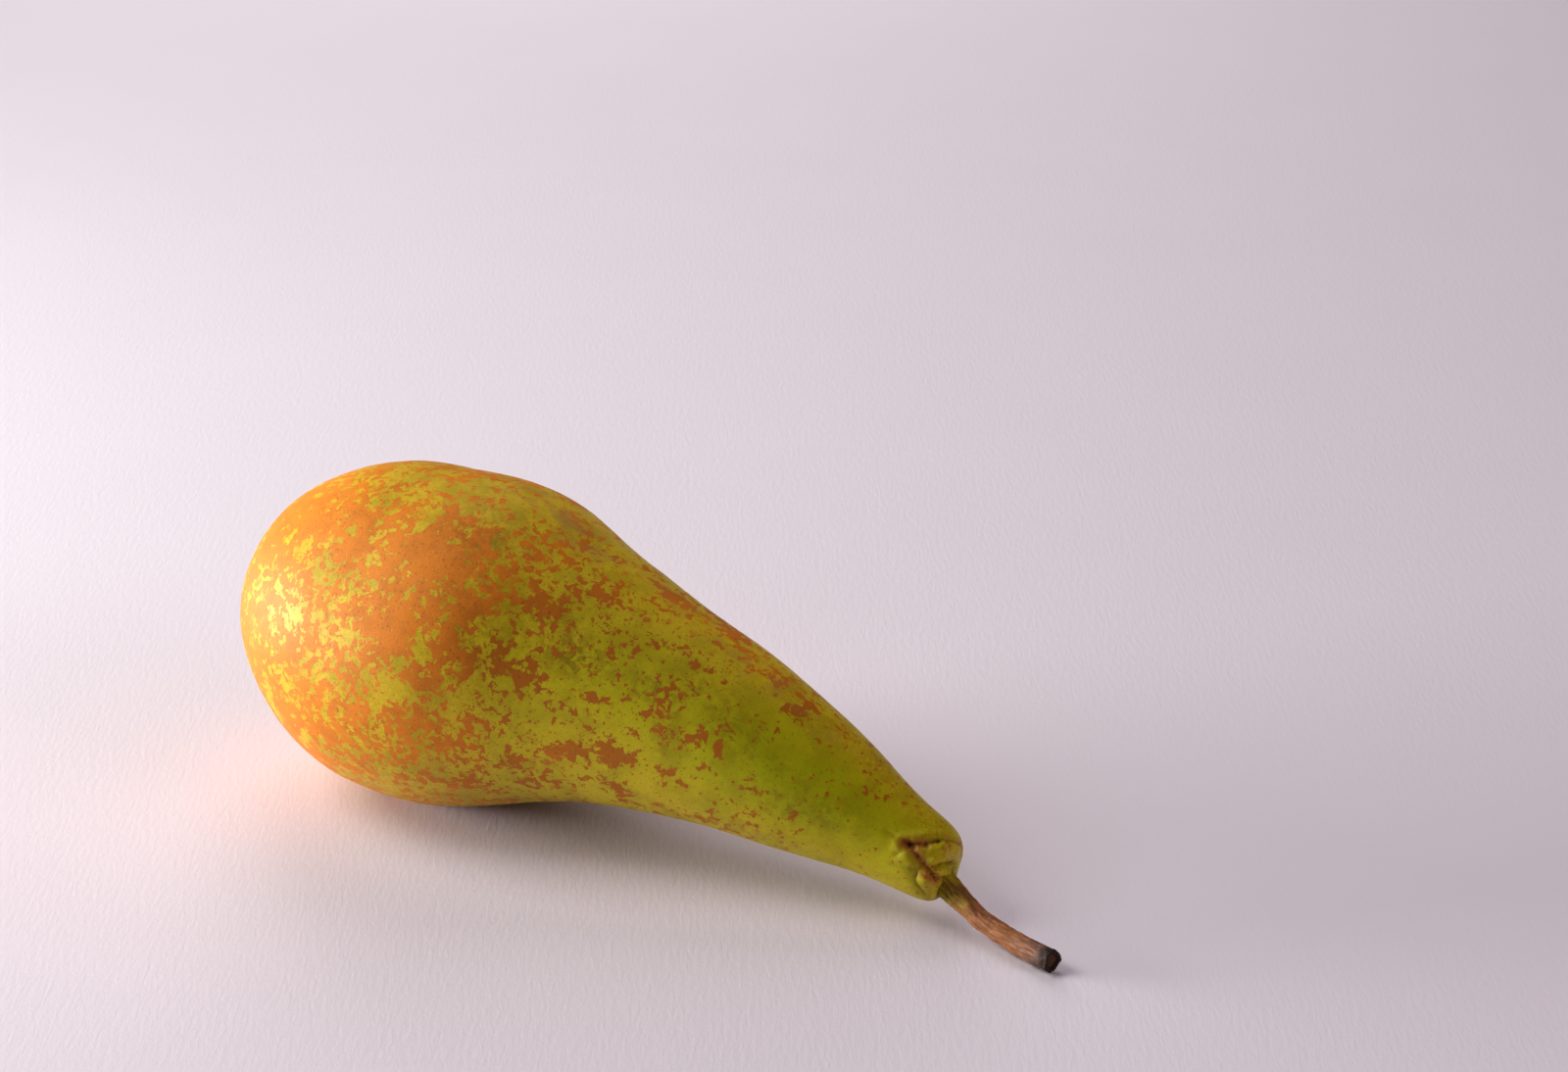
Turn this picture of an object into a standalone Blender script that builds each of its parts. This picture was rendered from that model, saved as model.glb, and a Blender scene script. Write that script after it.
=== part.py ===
"""A ripe pear of a long-necked, russeted kind, lying on its side as it rests on a table.

Metres, +Z up. +X runs from the flower end (the eye) to the stalk. The bulb rests on a small flat
spot, the end of the stalk touches the same surface, and the neck hangs just clear of it. The fruit
is one turned outline whose centre line arches along the neck; the stalk, the five dried sepals
and the withered stamens are pieces of their own.
"""
import math

import bmesh
import bpy
from mathutils import Vector

MM = 0.001
CLEARANCE = 0.3 * MM          # kept between pieces that touch

# A coarse cage for the outline, from the middle of the eye to the middle of the stalk end:
# (distance from the flower end, radius), millimetres. The outline is the smooth curve it steers.
EYE_CAGE = [(5.4, 0.0), (5.2, 2.6), (1.6, 2.7), (0.2, 4.2), (-0.3, 8.5)]
BULB_CAGE = [(2.5, 16.0), (10.0, 22.6), (22.0, 29.0), (36.0, 30.6), (50.0, 29.1)]
NECK_CAGE = [(64.0, 22.5), (80.0, 18.1), (96.0, 15.2), (112.0, 11.6), (126.0, 7.6)]
STALK_END_CAGE = [(134.0, 6.8), (136.5, 5.2), (136.3, 0.0)]
OUTLINE_CAGE = EYE_CAGE + BULB_CAGE + NECK_CAGE + STALK_END_CAGE

# How the fruit lies
BULB_CENTRE = 29.0 * MM       # this far from the flower end the bulb is centred over X = 0
FRUIT_LENGTH = 136.4 * MM
LEAN = math.radians(11.25)    # the neck points down by this much
NECK_ARCH = 6.1 * MM          # how far the neck's centre line bows upwards
NECK_ARCH_SKEW = 1.1          # above 1 the bow is highest nearer to the stalk
BULB_LIFT = 29.45 * MM        # height of the centre line over X = 0
FLATTENER_SIZE = 40.0 * MM    # side of the block that cuts the resting spot flat
FLATTENER_X = 10.0 * MM       # its middle, under the lowest part of the bulb

# Slight unevenness of the round section: share of the radius, and where it is highest
OVAL = 0.012
OVAL_TURN = math.radians(35)
THREE_SIDED = 0.008
THREE_SIDED_TURN = math.radians(80)

FRUIT_SIDES = 52
FRUIT_RINGS = 46

# The stalk: a cage for the line of its middle, and how thick it is there, millimetres
STALK_CAGE = [
    ((103.0, 0.3, 7.3), 2.0),
    ((104.9, -0.2, 6.2), 2.3),
    ((108.4, -1.3, 4.5), 1.8),
    ((111.4, -2.2, 3.1), 1.65),
    ((115.0, -3.4, 2.3), 1.7),
    ((119.0, -4.9, 2.05), 1.75),
    ((123.2, -6.4, 2.0), 1.85),
    ((127.6, -8.0, 2.0), 1.95),
]
STALK_STEPS = 30
SOCKET_RADIUS = 2.5 * MM      # hole in the flesh that the stalk's root sits in
SOCKET_DRILL_LENGTH = 12.8 * MM

# The eye's pieces
SEPAL_COUNT = 5
SEPAL_LENGTH = 4.4 * MM
SEPAL_WIDTH = 2.1 * MM
SEPAL_THICKNESS = 0.45 * MM
SEPAL_ROOT_RADIUS = 2.0 * MM  # from the middle of the eye
SEPAL_ROOT_DEPTH = 2.5 * MM   # below the rim of the eye
SEPAL_CURLS = [95, 118, 78, 128, 104]  # degrees that each one bends outwards
SEPAL_TURNS = [4, -5, 3, -3, 6]        # degrees that each one sits off its even place
SEPAL_TAPER = 0.72            # share of its width that a sepal has lost at its tip
STAMENS_RADIUS = 1.25 * MM
STAMENS_HEIGHT = 2.6 * MM
STAMENS_RIBS = 6
STAMENS_RIB_HEIGHT = 0.12     # share of the radius


def clear_scene():
    for old in list(bpy.data.objects):
        bpy.data.objects.remove(old, do_unlink=True)


def spline_point(cage, share):
    """A point of the cubic B-spline that the cage steers, at a share (0 to 1) of its spans.

    The cage's first and last points lie beyond the ends of the curve.
    """
    spans = len(cage) - 3
    start = min(int(share * spans), spans - 1)
    t = share * spans - start
    weights = (
        (1 - t) ** 3,
        3 * t ** 3 - 6 * t ** 2 + 4,
        -3 * t ** 3 + 3 * t ** 2 + 3 * t + 1,
        t ** 3,
    )
    return sum((cage[start + k + 1] * weights[k + 1] for k in range(3)), cage[start] * weights[0]) / 6


def outline_point(share):
    """Distance from the flower end and radius; the cage is mirrored past the axis at its ends."""
    cage = [Vector(point) * MM for point in OUTLINE_CAGE]
    mirror = Vector((1, -1))
    return spline_point([cage[1] * mirror] + cage + [cage[-2] * mirror], share)


def stalk_point(share):
    """The middle of the stalk (x, y, z) and its radius, as one four-number vector."""
    cage = [Vector((*middle, radius)) * MM for middle, radius in STALK_CAGE]
    return spline_point([2 * cage[0] - cage[1]] + cage + [2 * cage[-1] - cage[-2]], share)


def arch(along):
    """How far the centre line is bowed upwards at this distance from the flower end."""
    share = (along - BULB_CENTRE) / (FRUIT_LENGTH - BULB_CENTRE)
    return NECK_ARCH * math.sin(math.pi * min(max(share, 0.0), 1.0) ** NECK_ARCH_SKEW)


def unevenness(turn):
    oval = OVAL * math.cos(2 * (turn - OVAL_TURN))
    return 1.0 + oval + THREE_SIDED * math.cos(3 * (turn - THREE_SIDED_TURN))


def lay_down(along, across, up):
    """From the fruit's own straight frame to where it lies on the table."""
    x = along - BULB_CENTRE
    return Vector((
        x * math.cos(LEAN) + up * math.sin(LEAN),
        across,
        BULB_LIFT - x * math.sin(LEAN) + up * math.cos(LEAN),
    ))


def skin_point(share, turn):
    """A point of the skin: share of the outline, and the turn round it from straight up."""
    along, radius = outline_point(share)
    radius *= unevenness(turn)
    return lay_down(along, -radius * math.sin(turn), arch(along) + radius * math.cos(turn))


def material(name, colour, roughness):
    made = bpy.data.materials.new(name)
    made.use_nodes = True
    shader = made.node_tree.nodes["Principled BSDF"]
    shader.inputs["Base Color"].default_value = (*colour, 1.0)
    shader.inputs["Roughness"].default_value = roughness
    shader.inputs["Metallic"].default_value = 0.0
    return made


def add_object(name, mesh, collection, parent, finish=None):
    made = bpy.data.objects.new(name, mesh)
    collection.objects.link(made)
    made.parent = parent
    if finish is not None:
        mesh.materials.append(finish)
    for face in mesh.polygons:
        face.use_smooth = True
    return made


def mesh_from(shape, name):
    mesh = bpy.data.meshes.new(name)
    shape.to_mesh(mesh)
    shape.free()
    return mesh


def point_faces_out(shape):
    bmesh.ops.recalc_face_normals(shape, faces=shape.faces)
    if shape.calc_volume(signed=True) < 0:
        bmesh.ops.reverse_faces(shape, faces=shape.faces)


def sphere_spot(vertex):
    """Which share of the way from pole to pole, and which turn, a unit sphere's vertex is at."""
    share = math.acos(max(-1.0, min(1.0, vertex.co.z))) / math.pi
    return share, math.atan2(vertex.co.y, vertex.co.x)


def make_cutter(name, mesh, collection, parent):
    cutter = add_object(name, mesh, collection, parent)
    cutter.hide_render = True
    cutter.display_type = 'WIRE'
    return cutter


def cut(target, cutter):
    boolean = target.modifiers.new(cutter.name, 'BOOLEAN')
    boolean.operation = 'DIFFERENCE'
    boolean.solver = 'EXACT'
    boolean.object = cutter


def make_fruit(parts, cutters, parent):
    shape = bmesh.new()
    bmesh.ops.create_uvsphere(shape, u_segments=FRUIT_SIDES, v_segments=FRUIT_RINGS, radius=1.0)
    for vertex in shape.verts:
        vertex.co = skin_point(*sphere_spot(vertex))
    point_faces_out(shape)
    fruit = add_object("fruit", mesh_from(shape, "fruit"), parts, parent,
                       material("pear_skin", (0.50, 0.37, 0.06), 0.42))

    block = bmesh.new()
    bmesh.ops.create_cube(block, size=FLATTENER_SIZE)
    bmesh.ops.translate(block, verts=block.verts, vec=Vector((FLATTENER_X, 0, -FLATTENER_SIZE / 2)))
    cut(fruit, make_cutter("resting_spot_cutter", mesh_from(block, "resting_spot"), cutters, parent))

    root, mouth = (Vector(STALK_CAGE[k][0]) * MM for k in (0, 1))
    outward = (mouth - root).normalized()
    drill = bmesh.new()
    bmesh.ops.create_cone(drill, cap_ends=True, segments=20, radius1=SOCKET_RADIUS,
                          radius2=SOCKET_RADIUS, depth=SOCKET_DRILL_LENGTH)
    place = outward.to_track_quat('Z', 'Y').to_matrix().to_4x4()
    place.translation = root + outward * (SOCKET_DRILL_LENGTH / 2 - CLEARANCE)
    bmesh.ops.transform(drill, matrix=place, verts=drill.verts)
    cut(fruit, make_cutter("stalk_socket_cutter", mesh_from(drill, "stalk_socket"), cutters, parent))


def make_stem(parts, parent):
    curve = bpy.data.curves.new("stem", 'CURVE')
    curve.dimensions = '3D'
    curve.bevel_depth = 1.0
    curve.bevel_resolution = 4
    curve.use_fill_caps = True
    spline = curve.splines.new('POLY')
    spline.points.add(STALK_STEPS)
    for k, point in enumerate(spline.points):
        x, y, z, radius = stalk_point(k / STALK_STEPS)
        point.co = (x, y, z, 1.0)
        point.radius = radius
    sweep = bpy.data.objects.new("stem_sweep", curve)
    parts.objects.link(sweep)
    evaluated = sweep.evaluated_get(bpy.context.evaluated_depsgraph_get())
    mesh = bpy.data.meshes.new_from_object(evaluated)
    mesh.name = "stem"
    bpy.data.objects.remove(sweep, do_unlink=True)
    shape = bmesh.new()
    shape.from_mesh(mesh)
    bmesh.ops.remove_doubles(shape, verts=shape.verts, dist=0.01 * MM)
    shape.to_mesh(mesh)
    shape.free()
    add_object("stem", mesh, parts, parent, material("stalk_bark", (0.22, 0.12, 0.06), 0.7))


def eye_place(radius, turn, outward):
    """A place by the eye: from its middle, round it, and outwards from its rim."""
    return lay_down(-outward, -radius * math.sin(turn), radius * math.cos(turn))


def make_sepal(number, parts, parent, finish):
    """A stubby leaf that stands up out of the pit and bends outwards over its edge."""
    long_steps, wide_steps = 10, 4
    turn = math.radians(360 / SEPAL_COUNT * number + SEPAL_TURNS[number])
    curl = math.radians(SEPAL_CURLS[number])
    shape = bmesh.new()
    bmesh.ops.create_grid(shape, x_segments=long_steps, y_segments=wide_steps, size=1.0)
    step = SEPAL_LENGTH / long_steps
    radius, outward, spine = SEPAL_ROOT_RADIUS, -SEPAL_ROOT_DEPTH, []
    for k in range(long_steps + 1):
        spine.append((radius, outward))
        bend = curl * ((k + 0.5) / long_steps) ** 1.5
        radius += step * math.sin(bend)
        outward += step * math.cos(bend)
    for vertex in shape.verts:
        share = (vertex.co.x + 1) / 2
        radius, outward = spine[round(share * long_steps)]
        half_width = SEPAL_WIDTH / 2 * (1 - SEPAL_TAPER * share ** 1.6)
        vertex.co = eye_place(radius, turn + vertex.co.y * half_width / radius, outward)
    sepal = add_object(f"sepal_{number + 1}", mesh_from(shape, f"sepal_{number + 1}"),
                       parts, parent, finish)
    shell = sepal.modifiers.new("thickness", 'SOLIDIFY')
    shell.thickness = SEPAL_THICKNESS
    shell.offset = 0.0


def make_stamens(parts, parent, finish):
    shape = bmesh.new()
    bmesh.ops.create_uvsphere(shape, u_segments=18, v_segments=10, radius=1.0)
    pit_floor = EYE_CAGE[0][0] * MM
    middle = CLEARANCE + STAMENS_HEIGHT / 2 - pit_floor
    for vertex in shape.verts:
        share, turn = sphere_spot(vertex)
        ribs = 1 + STAMENS_RIB_HEIGHT * math.cos(STAMENS_RIBS * turn) * math.sin(math.pi * share)
        radius = STAMENS_RADIUS * math.sin(math.pi * share) * ribs
        vertex.co = eye_place(radius, turn, middle - STAMENS_HEIGHT / 2 * math.cos(math.pi * share))
    point_faces_out(shape)
    add_object("dried_stamens", mesh_from(shape, "dried_stamens"), parts, parent, finish)


def stand_on_origin(parent, parts):
    """Moves the whole pear so that the middle of its box is over the origin, at Z = 0."""
    bpy.context.view_layer.update()
    graph = bpy.context.evaluated_depsgraph_get()
    low, high = Vector((1, 1, 1)), Vector((-1, -1, -1))
    for piece in parts.objects:
        if piece.type != 'MESH':
            continue
        evaluated = piece.evaluated_get(graph)
        for vertex in evaluated.data.vertices:
            place = evaluated.matrix_world @ vertex.co
            low = Vector(map(min, low, place))
            high = Vector(map(max, high, place))
    parent.location = (-(low.x + high.x) / 2, -(low.y + high.y) / 2, -low.z)
    bpy.context.view_layer.update()


def build():
    clear_scene()
    parts = bpy.data.collections.new("pear")
    cutters = bpy.data.collections.new("cutters")
    bpy.context.scene.collection.children.link(parts)
    bpy.context.scene.collection.children.link(cutters)
    rest = bpy.data.objects.new("pear_rest", None)
    parts.objects.link(rest)
    make_fruit(parts, cutters, rest)
    make_stem(parts, rest)
    dried = material("dried_sepals", (0.09, 0.05, 0.03), 0.85)
    for number in range(SEPAL_COUNT):
        make_sepal(number, parts, rest, dried)
    make_stamens(parts, rest, material("withered_stamens", (0.24, 0.15, 0.09), 0.9))
    stand_on_origin(rest, parts)


build()
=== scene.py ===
import math

import bmesh
import bpy
import numpy as np
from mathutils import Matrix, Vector


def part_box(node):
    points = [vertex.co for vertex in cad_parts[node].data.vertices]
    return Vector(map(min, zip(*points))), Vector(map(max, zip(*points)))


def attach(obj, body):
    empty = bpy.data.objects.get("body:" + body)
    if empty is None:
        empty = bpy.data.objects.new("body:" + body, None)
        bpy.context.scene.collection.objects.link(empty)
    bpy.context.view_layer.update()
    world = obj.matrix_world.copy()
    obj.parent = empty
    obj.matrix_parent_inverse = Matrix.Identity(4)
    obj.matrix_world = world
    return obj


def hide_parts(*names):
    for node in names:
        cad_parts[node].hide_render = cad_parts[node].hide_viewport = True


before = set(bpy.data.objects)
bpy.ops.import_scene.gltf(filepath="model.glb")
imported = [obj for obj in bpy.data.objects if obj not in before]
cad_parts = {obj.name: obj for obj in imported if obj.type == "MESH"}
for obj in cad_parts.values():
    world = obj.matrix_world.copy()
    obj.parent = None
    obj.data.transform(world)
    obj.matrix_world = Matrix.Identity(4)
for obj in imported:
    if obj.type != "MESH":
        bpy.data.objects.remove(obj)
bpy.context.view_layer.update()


# ---------------------------------------------------------------------------------- the fruit
# The whole fleshy fruit in its skin, grown in one piece: bulb, waist, arched neck, the folded
# lip round the stalk, and the shallow basin with its pit at the flower end. It lies on the
# underside of the bulb, which gives a little under its own weight.

MM = 0.001
OUTLINE_CAGE = [
    (5.4, 0.0), (5.2, 2.6), (1.6, 2.7), (0.2, 4.2), (-0.3, 8.5),             # the eye
    (2.5, 16.0), (10.0, 22.6), (22.0, 29.0), (36.0, 30.6), (50.0, 29.1),     # the bulb
    (64.0, 22.5), (80.0, 18.1), (96.0, 15.2), (112.0, 11.6), (126.0, 7.6),   # the neck
    (134.0, 6.8), (136.5, 5.2), (136.3, 0.0),                                # the stalk end
]
BULB_CENTRE = 29.0
FRUIT_LENGTH = 136.4
LEAN = math.radians(11.25)
NECK_ARCH = 6.1
NECK_ARCH_SKEW = 1.1
BULB_LIFT = 29.45
OVAL = 0.012                  # unevenness of the round section, as a share of the radius
OVAL_TURN = math.radians(35)
THREE_SIDED = 0.008
THREE_SIDED_TURN = math.radians(80)
SKIN_SIDES = 360
RING_PLAN = [(0, 0.0), (62, 5 / 17), (128, 10 / 17), (178, 14 / 17), (264, 1.0)]  # ring, share


def spline(cage, shares):
    """Points of the cubic B-spline that a cage steers; its end points lie beyond the curve."""
    cage = np.asarray(cage, float)
    spans = len(cage) - 3
    start = np.minimum((shares * spans).astype(int), spans - 1)
    t = (shares * spans - start)[:, None]
    return ((1 - t) ** 3 * cage[start] + (3 * t ** 3 - 6 * t ** 2 + 4) * cage[start + 1]
            + (-3 * t ** 3 + 3 * t ** 2 + 3 * t + 1) * cage[start + 2] + t ** 3 * cage[start + 3]) / 6


def lay_down(along, across, up):
    """From the fruit's own straight frame, in millimetres, to where it lies on the table."""
    x = along - BULB_CENTRE
    return np.stack([
        x * math.cos(LEAN) + up * math.sin(LEAN),
        across,
        BULB_LIFT - x * math.sin(LEAN) + up * math.cos(LEAN),
    ], axis=-1)


def near_line(places, route):
    """How far each place is from a line through a few points."""
    nearest = np.full(len(places), 1e9)
    for a, b in zip(route, route[1:]):
        a, b = np.array(a, float), np.array(b, float)
        share = np.clip((places - a) @ (b - a) / ((b - a) @ (b - a)), 0, 1)
        nearest = np.minimum(nearest, np.linalg.norm(places - a - share[:, None] * (b - a), axis=1))
    return nearest


rings = RING_PLAN[-1][0]
ball = bmesh.new()
bmesh.ops.create_uvsphere(ball, u_segments=SKIN_SIDES, v_segments=rings, radius=1.0)
skin_mesh = bpy.data.meshes.new("pear_skin")
ball.to_mesh(skin_mesh)
ball.free()
count = len(skin_mesh.vertices)
on_ball = np.zeros(count * 3, np.float32)
skin_mesh.vertices.foreach_get("co", on_ball)
on_ball = on_ball.reshape(-1, 3).astype(float)
ring = np.rint(np.arccos(np.clip(on_ball[:, 2], -1, 1)) / math.pi * rings)
share = np.interp(ring, *zip(*RING_PLAN))
turn = np.arctan2(on_ball[:, 1], on_ball[:, 0])     # 0 is up, 90 degrees is towards -Y

mirror = np.array([1, -1])
cage = np.array(OUTLINE_CAGE)
along, radius = spline([cage[1] * mirror, *cage, cage[-2] * mirror], share).T
uneven = (1 + OVAL * np.cos(2 * (turn - OVAL_TURN))
          + THREE_SIDED * np.cos(3 * (turn - THREE_SIDED_TURN)))
radius = radius * uneven
neck_share = np.clip((along - BULB_CENTRE) / (FRUIT_LENGTH - BULB_CENTRE), 0, 1)
arch = NECK_ARCH * np.sin(math.pi * neck_share ** NECK_ARCH_SKEW)
places = lay_down(along, -radius * np.sin(turn), arch + radius * np.cos(turn))


def set_places(mesh, millimetres):
    mesh.vertices.foreach_set("co", (millimetres * MM).astype(np.float32).ravel())
    mesh.update()


def normals_of(mesh):
    found = np.zeros(len(mesh.vertices) * 3, np.float32)
    mesh.vertices.foreach_get("normal", found)
    return found.reshape(-1, 3).astype(float)


def point_faces_out(mesh):
    shape = bmesh.new()
    shape.from_mesh(mesh)
    bmesh.ops.recalc_face_normals(shape, faces=shape.faces)
    if shape.calc_volume(signed=True) < 0:
        bmesh.ops.reverse_faces(shape, faces=shape.faces)
    shape.to_mesh(mesh)
    shape.free()


WAVE_COUNT = 24


def waves(places, size, seed):
    """Smooth random swellings of about this size in millimetres, mostly between -2 and 2."""
    chance = np.random.default_rng(seed)
    ways = chance.normal(size=(WAVE_COUNT, 3))
    ways *= chance.uniform(0.7, 1.4, (WAVE_COUNT, 1)) / np.linalg.norm(ways, axis=1, keepdims=True)
    starts = chance.uniform(0, 2 * math.pi, WAVE_COUNT)
    heights = np.sin(places @ ways.T * 2 * math.pi / size + starts)
    return heights.sum(axis=1) / math.sqrt(WAVE_COUNT / 2)


set_places(skin_mesh, places)
point_faces_out(skin_mesh)
skin_out = normals_of(skin_mesh)

# The lip round the stalk is drawn into folds: each is a line over the skin, its depth and width.
# Between them it swells: each swelling is its middle, its height and its spread.
LIP_FOLDS = [
    ([(99.9, -6.2, 15.2), (101.3, -5.3, 15.0), (102.7, -4.3, 15.0), (104.1, -2.6, 15.1)], 1.05, 0.50),
    ([(104.1, -2.6, 15.1), (105.2, -0.6, 14.6), (105.7, 1.1, 13.6), (105.9, 2.8, 12.0),
      (105.2, 4.4, 9.8)], 0.50, 0.28),
    ([(100.6, -5.8, 14.9), (101.8, -5.9, 13.8), (103.0, -5.9, 12.5), (104.1, -5.7, 11.5),
      (104.9, -5.2, 10.4)], 0.60, 0.50),
    ([(104.6, -5.1, 11.7), (105.4, -4.1, 11.7), (105.8, -2.7, 11.4), (105.8, -0.9, 10.6),
      (105.6, 1.0, 9.4)], 0.80, 0.36),
    ([(104.7, -5.4, 10.2), (105.2, -4.5, 9.0), (105.3, -2.7, 8.5), (105.2, -0.8, 8.7),
      (105.1, 1.4, 8.7)], 0.85, 0.42),
    ([(102.8, -6.5, 11.1), (102.5, -6.7, 9.6), (102.9, -6.2, 8.0), (103.5, -5.3, 6.6)], 0.30, 0.60),
    ([(99.2, -7.0, 13.4), (100.4, -6.3, 14.3), (101.3, -5.6, 14.6)], 0.25, 0.40),
    ([(97.0, -6.4, 16.4), (98.6, -6.2, 15.9), (100.2, -5.8, 15.2)], 0.22, 0.45),
    ([(105.2, -2.2, 12.9), (105.6, -1.2, 11.9), (105.8, -0.9, 10.8)], 0.25, 0.30),
    ([(98.6, -7.9, 12.0), (100.6, -7.2, 11.6), (102.4, -6.6, 11.2)], 0.20, 0.50),
]
LIP_SWELLINGS = [
    ((100.6, -6.8, 12.5), 0.50, 2.0),
    ((104.8, -3.6, 13.3), 0.75, 1.5),
    ((105.5, 0.6, 12.4), 0.60, 1.7),
    ((105.7, -2.4, 9.9), 0.70, 0.9),
    ((103.6, -6.1, 9.4), 0.45, 1.3),
    ((103.2, -4.0, 5.2), 0.10, 1.6),
    ((104.4, 2.8, 5.2), 0.25, 1.9),
    ((102.3, -4.2, 16.0), 0.35, 1.5),
]
CREASE_SHARPNESS = 0.75       # the lower, the sharper the bottom of a fold
CREASE_DROP = 1.15            # its bottom and its two brims, as shares of the fold's depth
BRIM_RISE = 0.22
BRIM_AWAY = 2.4               # the brims' place and breadth, in widths of the fold
BRIM_BREADTH = 1.3
FULLY_DARK_DEPTH = 0.6
lift = np.zeros(count)
crease_shade = np.zeros(count)
ragged = 0.06 * waves(places, 1.3, seed=21)
for route, depth, width in LIP_FOLDS:
    away = np.abs(near_line(places, route) + ragged * width / 0.4)
    inside = np.exp(-away / (CREASE_SHARPNESS * width))
    brim = np.exp(-((away - BRIM_AWAY * width) / (BRIM_BREADTH * width)) ** 2)
    lift += depth * (BRIM_RISE * brim - CREASE_DROP * inside)
    # the deeper the fold, the more painted shade lies along its bottom
    crease_shade = np.maximum(crease_shade, inside * min(1.0, depth / FULLY_DARK_DEPTH))
for middle, height, spread in LIP_SWELLINGS:
    lift += height * np.exp(-(np.linalg.norm(places - np.array(middle), axis=1) / spread) ** 2)

# A crevice runs round the stalk, sunk and painted with shade, and the lip is finely crumpled between its
# folds.
STALK_ROOT = [(103.0, 0.3, 7.3), (108.4, -1.3, 4.5)]
CREVICE_RADIUS = 2.35
CREVICE_WIDTH = 0.40
CREVICE_DEPTH = 0.30
NECK_END = 126
LIP_MIDDLE = (104.2, -3.6, 11.4)
LIP_REACH = 3.4
from_stalk = near_line(places, STALK_ROOT)
crevice = np.clip(np.exp((CREVICE_RADIUS - from_stalk) / CREVICE_WIDTH), 0, 1) * (along > NECK_END)
lift -= CREVICE_DEPTH * crevice
crease_shade = np.maximum(crease_shade, crevice)
crumpled = np.exp(-(np.linalg.norm(places - np.array(LIP_MIDDLE), axis=1) / LIP_REACH) ** 4)
lift += crumpled * (0.085 * waves(places, 2.6, seed=31) + 0.045 * waves(places, 1.1, seed=32))

# Fine furrows run into the basin of the eye, and the whole skin is very slightly uneven.
FURROW_DEPTH = 0.22
FURROW_RADIUS = 5.2
FURROW_REACH = 2.6
from_eye = np.where(along < 12, radius, 99.0)
furrows = 0.6 * np.cos(5 * turn + 0.4) + 0.4 * np.cos(11 * turn + 1.9) + 0.3 * np.cos(17 * turn)
lift += FURROW_DEPTH * furrows * np.exp(-((from_eye - FURROW_RADIUS) / FURROW_REACH) ** 2)
body_share = np.clip((along - 2) / 10, 0, 1) * np.clip((134 - along) / 6, 0, 1)
lift += body_share * (0.09 * waves(places, 26, seed=3) + 0.016 * waves(places, 7, seed=8))
places += skin_out * lift[:, None]

# The underside of the bulb is pressed flat on the table.
FLAT_SOFTNESS = 0.12
BULB_END = 90
above = places[:, 2]
pressed = (above + np.sqrt(above ** 2 + FLAT_SOFTNESS ** 2)) / 2
places[:, 2] = np.where(along < BULB_END, pressed, above)

low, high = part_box("fruit")
STEP = np.array([low.x / MM - places[:, 0].min(), (low.y + high.y) / 2 / MM, 0.0])
set_places(skin_mesh, places + STEP)

# Where the russet lies, given as dabs: (millimetres from the flower end, degrees
# round from straight up, reach along, reach round, how much more or less russet).
RUSSET_DABS = [
    (8, 25, 8, 26, 0.20), (20, 30, 10, 9, 0.38), (22, 42, 8, 4, 0.16), (17, 74, 13, 22, 0.10),
    (28, 62, 6, 8, -0.06), (7, 95, 6, 24, 0.16), (43, 33, 8, 14, 0.42), (40, 32, 3, 6, 0.20),
    (36, 28, 2, 6, -0.30), (41, 60, 8, 9, 0.42), (47, 67, 3, 5, -0.36), (45, 82, 4, 4, -0.22),
    (51, 76, 2.5, 14, 0.32), (52, 50, 3, 6, 0.16), (44, 92, 10, 7, 0.14), (56, 98, 4, 3, 0.24),
    (30, 118, 12, 14, 0.12), (50, 132, 12, 12, -0.06), (38, 5, 6, 6, -0.12),
    (50, -2, 8, 10, -0.24), (56, 10, 4, 5, -0.10),
    (62, 37, 3, 5, 0.32), (64.5, 43, 2, 4, 0.26), (64, 65, 3.5, 4, 0.36), (67, 70, 2, 3, 0.28),
    (62, 13, 2, 3, 0.24), (67.5, 18, 2.2, 3, 0.26), (73, 33, 2, 3, 0.22), (76, 67, 2, 3, 0.26),
    (72, 98, 2.4, 5, 0.42), (77, 95, 3.6, 5, 0.50), (82, 91, 2.6, 7, 0.36), (81, 112, 2, 10, 0.34),
    (86.5, 87, 1.6, 3, 0.30), (90, 91, 2, 5, 0.34), (93, 68, 2.5, 3, 0.30), (83, 44, 5, 5, 0.12),
    (62, 120, 4, 10, 0.06), (88, 104, 7, 6, -0.06), (68, 118, 3, 6, 0.20), (54, -10, 3, 5, 0.20),
    (89, -16, 3, 8, 0.55), (91.5, -5, 2, 5, 0.45), (98, 2, 3, 4, 0.50), (106.5, 5, 1.5, 14, 0.42),
    (76, -12, 3, 5, 0.40), (83, -24, 4, 8, 0.34), (103, 128, 8, 14, 0.16), (105, -18, 26, 16, 0.12),
]
BACK_DABS = [
    (30, 200, 22, 60, 0.16), (28, -70, 20, 36, 0.16), (60, -100, 12, 30, 0.12), (75, 190, 12, 30, 0.10),
]


def dab(middle_along, middle_turn, reach_along, reach_turn):
    away = (np.degrees(turn) - middle_turn + 180) % 360 - 180
    return np.exp(-((along - middle_along) / reach_along) ** 2 - (away / reach_turn) ** 2)


russet = np.interp(along, [0, 6, 12, 30, 45, 52, 58, 70, 85, 100, 120, 137],
                   [0.62, 0.60, 0.51, 0.46, 0.45, 0.40, 0.35, 0.29, 0.25, 0.20, 0.08, 0.00])
for *where, more in RUSSET_DABS + BACK_DABS:
    russet = russet + more * dab(*where)
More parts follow.
